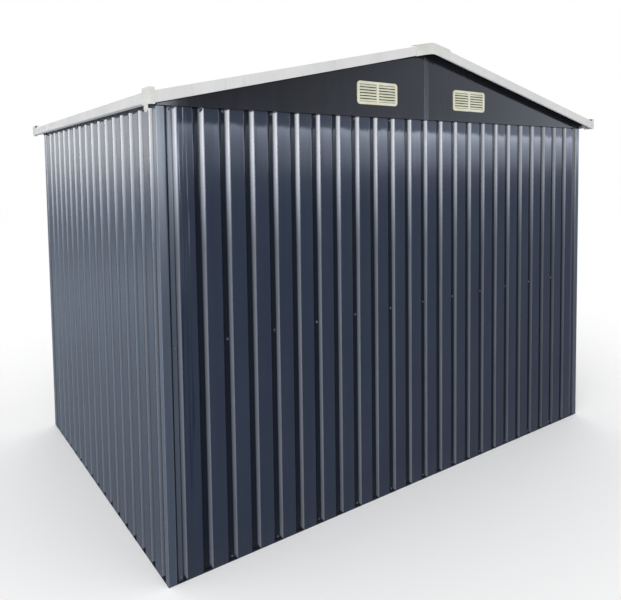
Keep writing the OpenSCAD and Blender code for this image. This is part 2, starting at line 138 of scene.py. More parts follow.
def add(operator, name, scale=(1, 1, 1), **where):
    """Adds a primitive at its size and place, with the size and place in its mesh"""
    bpy.ops.object.select_all(action="DESELECT")
    operator(**where)
    piece = bpy.context.active_object
    piece.name = name
    piece.data.name = name
    piece.scale = scale
    apply_place(piece)
    return piece


def only(piece):
    bpy.ops.object.select_all(action="DESELECT")
    piece.select_set(True)
    bpy.context.view_layer.objects.active = piece


def apply_place(piece):
    only(piece)
    bpy.ops.object.transform_apply(location=True, rotation=True, scale=True)


def put(piece, place):
    """Moves a piece by a matrix and leaves the place in its mesh"""
    piece.matrix_world = place @ piece.matrix_world
    apply_place(piece)
    return piece


def edit(piece):
    only(piece)
    bpy.ops.object.mode_set(mode="EDIT")
    bpy.ops.mesh.select_mode(type="VERT")
    bpy.ops.mesh.select_all(action="DESELECT")


def done():
    bpy.ops.object.mode_set(mode="OBJECT")


def pick(piece, test, kind="VERT"):
    """Selects vertices, edges or faces by a test on the element"""
    bpy.ops.mesh.select_mode(type=kind)
    bpy.ops.mesh.select_all(action="DESELECT")
    net = bmesh.from_edit_mesh(piece.data)
    for part in {"VERT": net.verts, "EDGE": net.edges, "FACE": net.faces}[kind]:
        if test(part):
            part.select_set(True)
    net.select_flush_mode()
    bmesh.update_edit_mesh(piece.data)


def middle(edge):
    return (edge.verts[0].co + edge.verts[1].co) / 2


def direction(edge):
    return (edge.verts[1].co - edge.verts[0].co).normalized()


def modify(piece, kind, **settings):
    """Adds a modifier and applies it"""
    only(piece)
    modifier = piece.modifiers.new(kind.lower(), kind)
    for key, value in settings.items():
        setattr(modifier, key, value)
    bpy.ops.object.modifier_apply(modifier=modifier.name)


def thicken(piece, thickness):
    """Gives a bent surface its thickness, on the side away from its normals"""
    modify(piece, "SOLIDIFY", thickness=thickness, offset=-1, use_even_offset=True)


def smooth(piece, angle=35):
    only(piece)
    bpy.ops.object.shade_smooth_by_angle(angle=radians(angle))
    return piece


def copy(piece, name, place):
    """Copy with its own mesh, moved by a matrix"""
    only(piece)
    bpy.ops.object.duplicate(linked=False)
    twin = bpy.context.active_object
    twin.name = name
    twin.data.name = name
    return put(twin, place)


def mirrored(piece, name, axis):
    """Copy mirrored across the shed's middle, with its faces turned outwards again"""
    twin = copy(piece, name, Matrix.Scale(-1, 4, axis))
    edit(twin)
    bpy.ops.mesh.select_all(action="SELECT")
    bpy.ops.mesh.flip_normals()
    done()
    return twin


def join(name, pieces):
    bpy.ops.object.select_all(action="DESELECT")
    for piece in pieces:
        piece.select_set(True)
    bpy.context.view_layer.objects.active = pieces[0]
    bpy.ops.object.join()
    whole = bpy.context.active_object
    whole.name = name
    whole.data.name = name
    return whole


def turned(angle, half):
    """Place of a wall's own frame: X along the wall, Y into the shed from its outer face"""
    return Matrix.Rotation(angle, 4, "Z") @ Matrix.Translation((0, -half, 0))


def folded(name, path, low, high, thickness, bend=2.4 * MM, steps=4):
    """Sheet that stands from low to high, folded along a path of (x, y) points.
    The path is its right-hand face, and the folds are rounded."""
    (x0, y0), (x1, y1) = path[:2]
    piece = add(
        bpy.ops.mesh.primitive_plane_add, name, size=1,
        location=((x0 + x1) / 2, (y0 + y1) / 2, (low + high) / 2),
        rotation=(pi / 2, 0, atan2(y1 - y0, x1 - x0)),
        scale=(hypot(x1 - x0, y1 - y0), high - low, 1),
    )
    edit(piece)
    pick(piece, lambda v: hypot(v.co.x - x1, v.co.y - y1) < NEAR)
    for (xa, ya), (xb, yb) in zip(path[1:], path[2:]):
        bpy.ops.mesh.extrude_region_move(TRANSFORM_OT_translate={"value": (xb - xa, yb - ya, 0)})
    if len(path) > 2:
        inner = [Vector((x, y)) for x, y in path[1:-1]]

        def is_fold(edge):
            if abs(direction(edge).z) < 0.9:
                return False
            spot = middle(edge).xy
            return any((spot - point).length < NEAR for point in inner)

        pick(piece, is_fold, "EDGE")
        bpy.ops.mesh.bevel(
            offset=bend, offset_type="OFFSET", segments=steps, affect="EDGES", clamp_overlap=True
        )
    done()
    if thickness:
        thicken(piece, thickness)
    return smooth(piece)


def groove(centre):
    return [
        (centre - BOTTOM / 2 - SIDE, 0), (centre - BOTTOM / 2, DEPTH),
        (centre + BOTTOM / 2, DEPTH), (centre + BOTTOM / 2 + SIDE, 0),
    ]


def groove_count(length):
    return round((length - PITCH) / PITCH) + 1


def groove_x(length, i):
    """Middle of groove i on a wall, with half a rib's spacing left at both ends"""
    return -length / 2 + FIRST + i * (length - PITCH) / (groove_count(length) - 1)


def sheet_start(centre, over):
    """Groove that begins a sheet, behind a post's leg or over the sheet before"""
    deep = DEPTH - SHEET if over else DEPTH
    shift = SIDE * (DEPTH - deep) / DEPTH
    return [
        (centre - BOTTOM / 2 + (LAP if over else 0), deep),
        (centre + BOTTOM / 2 + shift, deep),
        (centre + BOTTOM / 2 + SIDE, 0),
    ]


def sheet_end(centre):
    """Groove that ends a sheet, with the lap left free"""
    return [
        (centre - BOTTOM / 2 - SIDE, 0), (centre - BOTTOM / 2, DEPTH),
        (centre + BOTTOM / 2 - LAP, DEPTH),
    ]


# ---- Finishes ----

DUST = (0.11, 0.105, 0.10)


def finish_of(name):
    """New node material with its Principled shader and object coordinates"""
    material = bpy.data.materials.new(name)
    material.use_nodes = True
    tree = material.node_tree
    shader = tree.nodes["Principled BSDF"]
    place = tree.nodes.new("ShaderNodeTexCoord").outputs["Object"]
    return material, tree, shader, place


def stretched(tree, place, scale):
    mapping = tree.nodes.new("ShaderNodeMapping")
    mapping.inputs["Scale"].default_value = scale
    tree.links.new(place, mapping.inputs["Vector"])
    return mapping.outputs["Vector"]


def noise(tree, place, scale, detail=3.0, roughness=0.5):
    node = tree.nodes.new("ShaderNodeTexNoise")
    node.inputs["Scale"].default_value = scale
    node.inputs["Detail"].default_value = detail
    node.inputs["Roughness"].default_value = roughness
    tree.links.new(place, node.inputs["Vector"])
    return node.outputs["Fac"]


def remap(tree, value, low, high, out_low, out_high):
    """Value stretched from one range to another and held at its ends"""
    node = tree.nodes.new("ShaderNodeMapRange")
    node.inputs["From Min"].default_value = low
    node.inputs["From Max"].default_value = high
    node.inputs["To Min"].default_value = out_low
    node.inputs["To Max"].default_value = out_high
    tree.links.new(value, node.inputs["Value"])
    return node.outputs["Result"]


def blend_colour(tree, factor, first, second):
    node = tree.nodes.new("ShaderNodeMix")
    node.data_type = "RGBA"
    tree.links.new(factor, node.inputs["Factor"])
    for socket, colour in zip((node.inputs[6], node.inputs[7]), (first, second)):
        if isinstance(colour, tuple):
            socket.default_value = (*colour, 1)
        else:
            tree.links.new(colour, socket)
    return node.outputs[2]


def math_node(tree, operation, a, b=0):
    node = tree.nodes.new("ShaderNodeMath")
    node.operation = operation
    for socket, value in zip(node.inputs, (a, b)):
        if isinstance(value, (int, float)):
            socket.default_value = value
        else:
            tree.links.new(value, socket)
    return node.outputs[0]


def bump(tree, height, strength, distance, below=None):
    node = tree.nodes.new("ShaderNodeBump")
    node.inputs["Strength"].default_value = strength
    node.inputs["Distance"].default_value = distance
    tree.links.new(height, node.inputs["Height"])
    if below is not None:
        tree.links.new(below, node.inputs["Normal"])
    return node.outputs["Normal"]


def height_above_ground(tree, place):
    node = tree.nodes.new("ShaderNodeSeparateXYZ")
    tree.links.new(place, node.inputs[0])
    return node.outputs["Z"]


def groove_depth(tree, place, set_back):
    """Depth of a point behind the wall's outer face, or behind leaves set back from it"""
    split = tree.nodes.new("ShaderNodeSeparateXYZ")
    tree.links.new(place, split.inputs[0])
    along, deep = (math_node(tree, "ABSOLUTE", split.outputs[axis]) for axis in (0, 1))
    from_side = math_node(tree, "SUBTRACT", HALF_W, along)
    from_end = math_node(tree, "SUBTRACT", HALF_D - set_back, deep)
    return math_node(tree, "MINIMUM", from_side, from_end)


def groove_painted_shade(tree, depth, only_sides):
    """1 where shade is painted into the grooves: deep down, or on their sloping sides alone"""
    if not only_sides:
        return remap(tree, depth, 1.5 * MM, 11 * MM, 0, 1)
    below_rib = remap(tree, depth, 1 * MM, 4 * MM, 0, 1)
    above_bottom = remap(tree, depth, 10.6 * MM, 11.2 * MM, 1, 0)
    return math_node(tree, "MULTIPLY", below_rib, above_bottom)


def painted_steel(
    name, dark, light, gloss, tilt=0.001, streak=0.0002, shine=0.5, set_back=None, only_sides=False
):
    """Coil-coated steel sheet: gloss paint, each rib bent a little its own way, with faint runs
    down it, dust low down and, behind set_back, painted shade darkening the grooves or groove sides"""
    material, tree, shader, place = finish_of(name)
    patches = noise(tree, place, 2.2, 4)
    runs = noise(tree, stretched(tree, place, (34, 34, 1.1)), 1.0, 5, 0.6)
    mottle = math_node(tree, "MULTIPLY", patches, 0.6)
    tone = math_node(tree, "ADD", mottle, math_node(tree, "MULTIPLY", runs, 0.4))
    colour = blend_colour(tree, remap(tree, tone, 0.36, 0.64, 0, 1), dark, light)
    if set_back is None:
        shader.inputs["Specular IOR Level"].default_value = shine
    else:
        # Painted shade: grooves, or the posts' sloping groove sides, darker in colour and weaker in
        # reflection with depth
        painted_shade = groove_painted_shade(tree, groove_depth(tree, place, set_back), only_sides)
        darkest = 0.1 if only_sides else 0.35
        colour = blend_colour(tree, painted_shade, colour, tuple(darkest * part for part in dark))
        tree.links.new(remap(tree, painted_shade, 0, 1, shine, 0.4 * shine), shader.inputs["Specular IOR Level"])
    specks = noise(tree, place, 160, 3, 0.65)
    low = remap(tree, height_above_ground(tree, place), 0.0, 0.12, 1, 0)
    dirt = math_node(tree, "MULTIPLY", low, remap(tree, specks, 0.45, 0.72, 0, 0.25))
    colour = blend_colour(tree, dirt, colour, DUST)
    tree.links.new(colour, shader.inputs["Base Color"])
    dull = remap(tree, runs, 0.3, 0.7, gloss * 0.85, gloss * 1.2)
    tree.links.new(math_node(tree, "ADD", dull, math_node(tree, "MULTIPLY", dirt, 0.4)),
                   shader.inputs["Roughness"])
    shader.inputs["IOR"].default_value = 1.5
    waves = noise(tree, stretched(tree, place, (13, 13, 1.3)), 1.0, 1)
    streaks = noise(tree, stretched(tree, place, (60, 60, 1.6)), 1.0, 2)
    peel = noise(tree, place, 420, 2)
    normal = bump(tree, waves, 1.0, tilt)
    normal = bump(tree, streaks, 1.0, streak, normal)
    tree.links.new(bump(tree, peel, 0.2, 0.00002, normal), shader.inputs["Normal"])
    return material


def white_paint(name, clean, worn, gloss):
    """White coat on folded trim, a little greyed, with fine dirt"""
    material, tree, shader, place = finish_of(name)
    patches = noise(tree, place, 5, 4, 0.6)
    runs = noise(tree, stretched(tree, place, (60, 60, 9)), 1.0, 4, 0.6)
    colour = blend_colour(tree, remap(tree, patches, 0.35, 0.7, 0, 1), clean, worn)
    colour = blend_colour(tree, remap(tree, runs, 0.58, 0.8, 0, 0.35), colour, (0.42, 0.41, 0.37))
    tree.links.new(colour, shader.inputs["Base Color"])
    tree.links.new(remap(tree, patches, 0.3, 0.7, gloss * 0.8, gloss * 1.3), shader.inputs["Roughness"])
    shader.inputs["IOR"].default_value = 1.5
    shader.inputs["Specular IOR Level"].default_value = 0.03
    waves = noise(tree, stretched(tree, place, (3, 3, 20)), 1.0, 1)
    peel = noise(tree, place, 380, 2)
    normal = bump(tree, waves, 1.0, 0.0006)
    tree.links.new(bump(tree, peel, 0.3, 0.00003, normal), shader.inputs["Normal"])
    return material


def moulded_plastic(name, fresh, aged, gloss):
    """Moulded plastic with a fine leather-like grain and a little yellowing"""
    material, tree, shader, place = finish_of(name)
    patches = noise(tree, place, 14, 4, 0.6)
    grain = noise(tree, place, 900, 2)
    colour = blend_colour(tree, remap(tree, patches, 0.35, 0.68, 0, 1), fresh, aged)
    specks = noise(tree, place, 260, 2)
    colour = blend_colour(tree, remap(tree, specks, 0.66, 0.78, 0, 0.4), colour, (0.3, 0.29, 0.24))
    tree.links.new(colour, shader.inputs["Base Color"])
    tree.links.new(remap(tree, grain, 0.3, 0.7, gloss * 0.85, gloss * 1.2), shader.inputs["Roughness"])
    shader.inputs["IOR"].default_value = 1.49
    shader.inputs["Specular IOR Level"].default_value = 0.08
    tree.links.new(bump(tree, grain, 0.4, 0.00005), shader.inputs["Normal"])
    return material


def zinc_steel(name, bright, grey, roughness):
    """Zinc-coated steel with its spangle of flat crystals"""
    material, tree, shader, place = finish_of(name)
    cells = tree.nodes.new("ShaderNodeTexVoronoi")
    cells.inputs["Scale"].default_value = 70
    tree.links.new(place, cells.inputs["Vector"])
    shade = tree.nodes.new("ShaderNodeSeparateColor")
    tree.links.new(cells.outputs["Color"], shade.inputs[0])
    cloud = noise(tree, place, 6, 4)
    tone = math_node(tree, "MULTIPLY", shade.outputs[0], remap(tree, cloud, 0.3, 0.7, 0.6, 1.2))
    tree.links.new(blend_colour(tree, tone, grey, bright), shader.inputs["Base Color"])
    tree.links.new(remap(tree, shade.outputs[1], 0, 1, roughness * 0.7, roughness * 1.4),
                   shader.inputs["Roughness"])
    shader.inputs["Metallic"].default_value = 0.85
    tree.links.new(bump(tree, cloud, 0.2, 0.0004), shader.inputs["Normal"])
    return material


NAVY_WALL = painted_steel(
    "navy_wall_paint", (0.016, 0.023, 0.043), (0.021, 0.029, 0.051), gloss=0.035, set_back=0
)
NAVY_SIDE = painted_steel(
    "navy_side_paint", (0.016, 0.023, 0.043), (0.021, 0.029, 0.051), gloss=0.035,
    tilt=0.0022, streak=0.0005, set_back=0,
)
# Lighter copy of the navy paint: painted highlight on the posts, with painted shade on their sloping sides
NAVY_POST_HIGHLIGHT = painted_steel(
    "navy_post_painted_highlight", (0.058, 0.073, 0.103), (0.068, 0.083, 0.116), gloss=0.1, set_back=0, only_sides=True
)
# Darker, less glossy copy of the navy paint: painted shade over the gable panels
NAVY_GABLE_SHADED = painted_steel(
    "navy_gable_painted_shade", (0.009, 0.010, 0.013), (0.014, 0.015, 0.019), gloss=0.08,
    tilt=0.0001, streak=0.00003, shine=0.33,
)
# Lighter than the gable paint: a painted highlight along the gable's joint strip
SEAM_HIGHLIGHT = painted_steel(
    "navy_seam_painted_highlight", (0.017, 0.019, 0.023), (0.023, 0.025, 0.030), gloss=0.2,
    tilt=0.0001, streak=0.00003, shine=0.4,
)
NAVY_ROOF = painted_steel(
    "navy_roof_paint", (0.018, 0.025, 0.042), (0.026, 0.034, 0.052), gloss=0.22,
    tilt=0.0008, streak=0.00012, shine=0.35,
)
NAVY_DOOR = painted_steel(
    "navy_door_paint", (0.017, 0.024, 0.044), (0.023, 0.031, 0.053), gloss=0.05, set_back=DOOR_SET
)
RAIL_PAINT = painted_steel(
    "dark_rail_paint", (0.014, 0.018, 0.027), (0.020, 0.025, 0.036), gloss=0.3, tilt=0.0004
)
TRIM_WHITE = white_paint("white_trim_paint", (0.64, 0.64, 0.645), (0.58, 0.58, 0.585), 0.6)
CAP_WHITE = moulded_plastic("white_cap_plastic", (0.62, 0.63, 0.60), (0.53, 0.535, 0.50), 0.5)
VENT_CREAM = moulded_plastic("cream_vent_plastic", (0.70, 0.70, 0.60), (0.58, 0.57, 0.42), 0.40)
PULL_WHITE = moulded_plastic("pull_plastic", (0.68, 0.68, 0.67), (0.6, 0.6, 0.57), 0.33)
ZINC = zinc_steel("zinc_frame_steel", (0.30, 0.31, 0.32), (0.19, 0.20, 0.21), 0.45)
SCREW_ZINC = zinc_steel("screw_zinc", (0.12, 0.125, 0.135), (0.08, 0.085, 0.092), 0.5)


def finish(piece, material, slot, *nodes):
    """Last step of each piece: flats keep flat normals beside their rounded folds"""
    modify(piece, "WEIGHTED_NORMAL", keep_sharp=True)
    piece.data.materials.clear()
    piece.data.materials.append(material)
    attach(piece, "root")
    if nodes:
        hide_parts(*nodes)
    return piece


# ---- Ribbed wall sheets ----


def sheet_path(length, first, last, over):
    """Outer face of a sheet that runs from groove first to groove last of its wall"""
    path = sheet_start(groove_x(length, first), over)
    for i in range(first + 1, last):
        path += groove(groove_x(length, i))
    return path + sheet_end(groove_x(length, last))


def wall_sheets(side, angle, half, length, count, material):
    """One wall: sheets that lap in the bottoms of grooves"""
    last = groove_count(length) - 1
    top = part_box(f"{side}_wall_sheet_1")[1].z
    for k in range(count):
        first, end = round(k * last / count), round((k + 1) * last / count)
        sheet = folded(f"{side}_ribs_{k + 1}", sheet_path(length, first, end, k > 0), STEEL, top, SHEET)
        put(sheet, turned(angle, half))
        finish(sheet, material, "wall_sheet", f"{side}_wall_sheet_{k + 1}")


wall_sheets("rear", REAR, HALF_D, 2 * HALF_W, 4, NAVY_WALL)
wall_sheets("right", RIGHT, HALF_W, 2 * HALF_D, 2, NAVY_SIDE)
wall_sheets("left", LEFT, HALF_W, 2 * HALF_D, 2, NAVY_SIDE)


def front_sheets():
    """Narrow sheets beside the doorway, each with a flat edge that the jamb holds"""
    length = HALF_W - DOOR_W / 2
    path = sheet_start(groove_x(length, 0), False)
    for i in range(1, groove_count(length)):
        path += groove(groove_x(length, i))
    path.append((length / 2 - STEEL, 0))
    sheet = folded("front_ribs_left", path, STEEL, END_TOP, SHEET)
    put(sheet, turned(FRONT, HALF_D) @ Matrix.Translation((-HALF_W + length / 2, 0, 0)))
    twin = mirrored(sheet, "front_ribs_right", (1, 0, 0))
    finish(sheet, NAVY_WALL, "wall_sheet", "front_wall_sheet_left")
    finish(twin, NAVY_WALL, "wall_sheet", "front_wall_sheet_right")


front_sheets()


def corner_posts():
    """Bent posts, whose legs lie in the end grooves of both walls"""
    lap = DEPTH - STEEL
    flat = FIRST - BOTTOM / 2 - SIDE
    fold = FIRST - BOTTOM / 2 - SIDE * STEEL / DEPTH
    path = [(lap, POST_LEG), (lap, fold), (0, flat), (0, 0), (flat, 0), (fold, lap), (POST_LEG, lap)]
    post = folded("front_left_post", path, STEEL, END_TOP, STEEL)
    spots = (
        ("front_right_post", (HALF_W, -HALF_D), RIGHT, "front_right_corner_post"),
        ("rear_right_post", (HALF_W, HALF_D), REAR, "rear_right_corner_post"),
        ("rear_left_post", (-HALF_W, HALF_D), LEFT, "rear_left_corner_post"),
    )
    for name, (x, y), angle, node in spots:
        twin = copy(post, name, Matrix.Translation((x, y, 0)) @ Matrix.Rotation(angle, 4, "Z"))
        finish(twin, NAVY_POST_HIGHLIGHT, "post_steel", node)
    put(post, Matrix.Translation((-HALF_W, -HALF_D, 0)))
    finish(post, NAVY_POST_HIGHLIGHT, "post_steel", "front_left_corner_post")


corner_posts()

# ---- Gables ----

VENT_W = 222 * MM
VENT_H = 95 * MM
VENT_SEAT = 10 * MM


def gable_pan():
    """Right half of the rear gable: a flat pan with flanges folded inwards"""
    pan = add(
        bpy.ops.mesh.primitive_plane_add, "rear_gable_right", size=1,
        location=(HALF_W / 2, GABLE_Y, (END_TOP + RIDGE_Z) / 2), rotation=(-pi / 2, 0, 0),
        scale=(HALF_W, RIDGE_Z - END_TOP, 1),
    )
    edit(pan)
    bpy.ops.mesh.select_all(action="SELECT")
    bpy.ops.mesh.bisect(
        plane_co=(HALF_W, GABLE_Y, EAVE_Z), plane_no=(sin(SLOPE_ANGLE), 0, cos(SLOPE_ANGLE)), clear_outer=True
    )

    def has_flange(edge):
        """Any edge of the face but the short one at the eave"""
        return abs(middle(edge).y - GABLE_Y) < NEAR and middle(edge).x < HALF_W - 1 * MM

    pick(pan, has_flange, "EDGE")
    bpy.ops.mesh.extrude_edges_move(TRANSFORM_OT_translate={"value": (0, HALF_D - GABLE_FLANGE - GABLE_Y, 0)})
    pick(pan, has_flange, "EDGE")
    bpy.ops.mesh.bevel(offset=1.2 * MM, segments=3, affect="EDGES")
    done()
    thicken(pan, STEEL)
    smooth(pan)
    return pan


def vent_hole(pan, x, z):
    """Hole on whose edges the vent's frame sits"""
    cutter = add(
        bpy.ops.mesh.primitive_cube_add, "cutter", size=1, location=(x, GABLE_Y, z),
        scale=(VENT_W - 2 * VENT_SEAT, 10 * MM, VENT_H - 2 * VENT_SEAT),
    )
    modify(pan, "BOOLEAN", object=cutter, operation="DIFFERENCE", solver="EXACT")
    bpy.data.objects.remove(cutter)


def gable_seam():
    """Joint strip that stands proud of the pans by their thickness"""
    left, right, slant = -8 * MM, 16 * MM, 2 * MM
    foot_gap, head_gap = 0.5 * MM, 31 * MM
    profile = [(left, 0), (left + slant, -STEEL), (right - slant, -STEEL), (right, 0)]
    seam = folded("rear_gable_seam", profile, END_TOP + foot_gap, RIDGE_Z - head_gap, SHEET, 0.5 * MM, 2)
    return put(seam, Matrix.Translation((0, GABLE_Y, 0)) @ Matrix.Rotation(pi, 4, "Z"))


def gable_panels():
    low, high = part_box("rear_vents")
    vent_x = high.x - VENT_W / 2
    vent_z = (low.z + high.z) / 2
    pan = gable_pan()
    vent_hole(pan, vent_x, vent_z)
    seam = gable_seam()
    left = mirrored(pan, "rear_gable_left", (1, 0, 0))
    half_turn = Matrix.Rotation(pi, 4, "Z")
    for piece, twin_name, material, node, twin_node in (
        (pan, "front_gable_left", NAVY_GABLE_SHADED, "rear_gable_panel_right", "front_gable_panel_left"),
        (seam, "front_gable_seam", SEAM_HIGHLIGHT, "rear_gable_panel_right", "front_gable_panel_left"),
        (left, "front_gable_right", NAVY_GABLE_SHADED, "rear_gable_panel_left", "front_gable_panel_right"),
    ):
        finish(copy(piece, twin_name, half_turn), material, "gable_sheet", twin_node)
        finish(piece, material, "gable_sheet", node)
    return vent_x, vent_z


VENT_X, VENT_Z = gable_panels()

# ---- Vents ----

VENT_RIM = 12 * MM
VENT_OUT = 5 * MM
SLATS = 6


def vent_frame():
    """Moulded frame with round corners and a middle bar, face towards +Y"""
    corner, fold = 14 * MM, 1.8 * MM
    rim = add(
        bpy.ops.mesh.primitive_plane_add, "vent_rim", size=1, location=(0, VENT_OUT, 0),
        rotation=(-pi / 2, 0, 0), scale=(VENT_W, VENT_H, 1),
    )
    edit(rim)
    bpy.ops.mesh.select_all(action="SELECT")
    bpy.ops.mesh.bevel(offset=corner, segments=5, affect="VERTICES")
    bars = (VENT_RIM / 2, VENT_W / 2 - VENT_RIM)
    for x in (-bars[1], -bars[0], bars[0], bars[1]):
        bpy.ops.mesh.select_all(action="SELECT")
        bpy.ops.mesh.bisect(plane_co=(x, 0, 0), plane_no=(1, 0, 0))
    for z in (-VENT_H / 2 + VENT_RIM, VENT_H / 2 - VENT_RIM):
        bpy.ops.mesh.select_all(action="SELECT")
        bpy.ops.mesh.bisect(plane_co=(0, 0, z), plane_no=(0, 0, 1))

    def in_cell(face):
        spot = face.calc_center_median()
        return bars[0] < abs(spot.x) < bars[1] and abs(spot.z) < VENT_H / 2 - VENT_RIM

    pick(rim, in_cell, "FACE")
    bpy.ops.mesh.delete(type="FACE")
    bpy.ops.mesh.select_all(action="SELECT")
    bpy.ops.mesh.extrude_region_move(TRANSFORM_OT_translate={"value": (0, -VENT_OUT, 0)})
    bpy.ops.mesh.select_all(action="SELECT")
    bpy.ops.mesh.normals_make_consistent(inside=False)

    def is_front_rim(edge):
        if abs(middle(edge).y - VENT_OUT) > NEAR:
            return False
        return sum(abs(face.normal.y) > 0.9 for face in edge.link_faces) == 1

    pick(rim, is_front_rim, "EDGE")
    bpy.ops.mesh.bevel(offset=fold, segments=3, affect="EDGES")
    done()
    return rim


def vent_slats():
    """Two columns of slats, tilted and seated in the frame"""
    cell_w = (VENT_W - 3 * VENT_RIM) / 2
    cell_h = VENT_H - 2 * VENT_RIM
    step = cell_h / SLATS
    seat, wide, thick, forward = 1 * MM, 10 * MM, 1.6 * MM, 1.3 * MM
    slat = add(bpy.ops.mesh.primitive_cube_add, "slats", size=1, scale=(cell_w + 2 * seat, wide, thick))
    edit(slat)
    pick(slat, lambda e: abs(direction(e).x) > 0.9, "EDGE")
    bpy.ops.mesh.bevel(offset=0.6 * MM, segments=2, affect="EDGES")
    bpy.ops.mesh.select_all(action="SELECT")
    bpy.ops.transform.rotate(value=radians(60), orient_axis="X", center_override=(0, 0, 0))
    done()
    put(slat, Matrix.Translation((-(cell_w + VENT_RIM) / 2, forward, step / 2 - cell_h / 2)))
    for count, shift in ((SLATS, (0, 0, step)), (2, (cell_w + VENT_RIM, 0, 0))):
        modify(slat, "ARRAY", count=count, use_relative_offset=False, use_constant_offset=True,
               constant_offset_displace=shift)
    return slat


def vents():
    vent = smooth(join("vent", [vent_frame(), vent_slats()]), 40)
    left = copy(vent, "vent_left", Matrix.Translation((-VENT_X, GABLE_Y, VENT_Z)))
    right = put(vent, Matrix.Translation((VENT_X, GABLE_Y, VENT_Z)))
    pair = join("rear_louvres", [left, right])
    other = copy(pair, "front_louvres", Matrix.Rotation(pi, 4, "Z"))
    finish(pair, VENT_CREAM, "vent_plastic", "rear_vents")
    finish(other, VENT_CREAM, "vent_plastic", "front_vents")


vents()

# ---- Roof ----

ROOF_INSET = 6 * MM


def roof_sheets():
    """Ribbed sheets that run down from the ridge, a gap apart at the top"""
    gap, seat = 15 * MM, 0.05 * MM
    length = 2 * (VERGE_Y - ROOF_INSET)
    count = round(length / PITCH)
    step = length / count
    down = (EAVE_X - ROOF_INSET) / cos(SLOPE_ANGLE) - gap
    path = [(-length / 2, 0)]
    for i in range(count):
        path += groove(-length / 2 + (i + 0.5) * step)
    path.append((length / 2, 0))
    sheet = folded("right_roof_ribs", path, 0, down, SHEET)
    place = (
        Matrix.Translation((0, 0, RIDGE_Z + seat)) @ Matrix.Rotation(pi / 2 + SLOPE_ANGLE, 4, "Y")
        @ Matrix.Translation((0, 0, gap)) @ Matrix.Rotation(pi / 2, 4, "Z")
    )
    put(sheet, place)
    twin = copy(sheet, "left_roof_ribs", Matrix.Rotation(pi, 4, "Z"))
    finish(sheet, NAVY_ROOF, "roof_sheet", "right_roof_sheet")
    finish(twin, NAVY_ROOF, "roof_sheet", "left_roof_sheet")


roof_sheets()

# A section in (x, y) laid along Y as X and Z, or along X as Y and Z
ALONG_Y = Matrix(((1, 0, 0, 0), (0, 0, -1, 0), (0, 1, 0, 0), (0, 0, 0, 1)))
ALONG_X = Matrix(((0, 0, 1, 0), (1, 0, 0, 0), (0, 1, 0, 0), (0, 0, 0, 1)))


def ridge_sheet():
    """Cap over both roof sheets' ribs, with a short lip bent down along each edge"""
    lift = (DEPTH + SHEET) / cos(SLOPE_ANGLE) + 0.1 * MM
    half, lip_out, lip_down = 90 * MM, 3 * MM, 5 * MM
    long_half = VERGE_Y - ROOF_INSET
    edge_z = roof_z(half) + lift
    path = [
        (half + lip_out, edge_z - lip_down), (half, edge_z), (0, RIDGE_Z + lift),
        (-half, edge_z), (-half - lip_out, edge_z - lip_down),
    ]
    cap = folded("ridge_sheet", path[::-1], -long_half, long_half, SHEET, 2 * MM, 4)
    put(cap, ALONG_Y)
    finish(cap, NAVY_ROOF, "roof_sheet", "ridge_cap")


ridge_sheet()

# ---- Trims ----


def verge_trims():
    """Folded level from the peak, then the far end drawn down to the roof's slope"""
    run = EAVE_X - 3 * MM
    drop, tall, deep, lip = 16 * MM, 40 * MM, 12 * MM, 15 * MM
    path = [(-deep, 0), (-deep, -drop), (0, -drop), (0, tall - drop), (-lip, tall - drop)]
    trim = folded("rear_right_verge", path, 0, run, TRIM, 1.5 * MM, 4)
    put(trim, Matrix.Translation((0, VERGE_Y, RIDGE_Z)) @ ALONG_X)
    edit(trim)
    pick(trim, lambda v: v.co.x > run / 2)
    bpy.ops.transform.translate(value=(0, 0, -run * SLOPE))
    done()
    twins = {
        "rear_left": mirrored(trim, "rear_left_verge", (1, 0, 0)),
        "front_right": mirrored(trim, "front_right_verge", (0, 1, 0)),
        "front_left": copy(trim, "front_left_verge", Matrix.Rotation(pi, 4, "Z")),
    }
    finish(trim, TRIM_WHITE, "white_trim", "rear_right_verge_trim")
    for name, twin in twins.items():
        finish(twin, TRIM_WHITE, "white_trim", f"{name}_verge_trim")


verge_trims()


def eave_trims():
    """Channels along the eaves, whose inner side reaches up to the roof"""
    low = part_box("right_eave_trim")[0].z
    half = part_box("right_eave_trim")[1].y
    wide, tall, lip = 26 * MM, 36 * MM, 12 * MM
    inner = EAVE_X - wide
    path = [
        (inner, roof_z(inner + TRIM)), (inner, low), (EAVE_X, low),
        (EAVE_X, low + tall), (EAVE_X - lip, low + tall),
    ]
    trim = folded("right_eave", path, -half, half, TRIM, 1.5 * MM, 4)
    put(trim, ALONG_Y)
    twin = copy(trim, "left_eave", Matrix.Rotation(pi, 4, "Z"))
    finish(trim, TRIM_WHITE, "white_trim", "right_eave_trim")
    finish(twin, TRIM_WHITE, "white_trim", "left_eave_trim")


eave_trims()

# ---- Mouldings ----

CAP_TALL = 55 * MM


def tongue(cap, corner):
    """Tongue that hangs from the cap's eave side, round at its foot"""
    base = corner.z - CAP_TALL
    wide, tall, rounding, inwards = 34 * MM, 24 * MM, 14 * MM, 27 * MM
    place_y = corner.y - CAP - inwards
    edit(cap)
    for y in (place_y - wide / 2, place_y + wide / 2):
        bpy.ops.mesh.select_all(action="SELECT")
        bpy.ops.mesh.bisect(plane_co=(0, y, 0), plane_no=(0, 1, 0))

    def over_tongue(edge):
        spot = middle(edge)
        if abs(spot.z - base) > NEAR or abs(spot.x - corner.x) > NEAR:
            return False
        return abs(spot.y - place_y) < wide / 4

    pick(cap, over_tongue, "EDGE")
    bpy.ops.mesh.extrude_edges_move(TRANSFORM_OT_translate={"value": (0, 0, -tall)})
    pick(cap, lambda v: v.co.z < base - tall / 2)
    bpy.ops.mesh.bevel(offset=rounding, segments=6, affect="VERTICES")
    done()


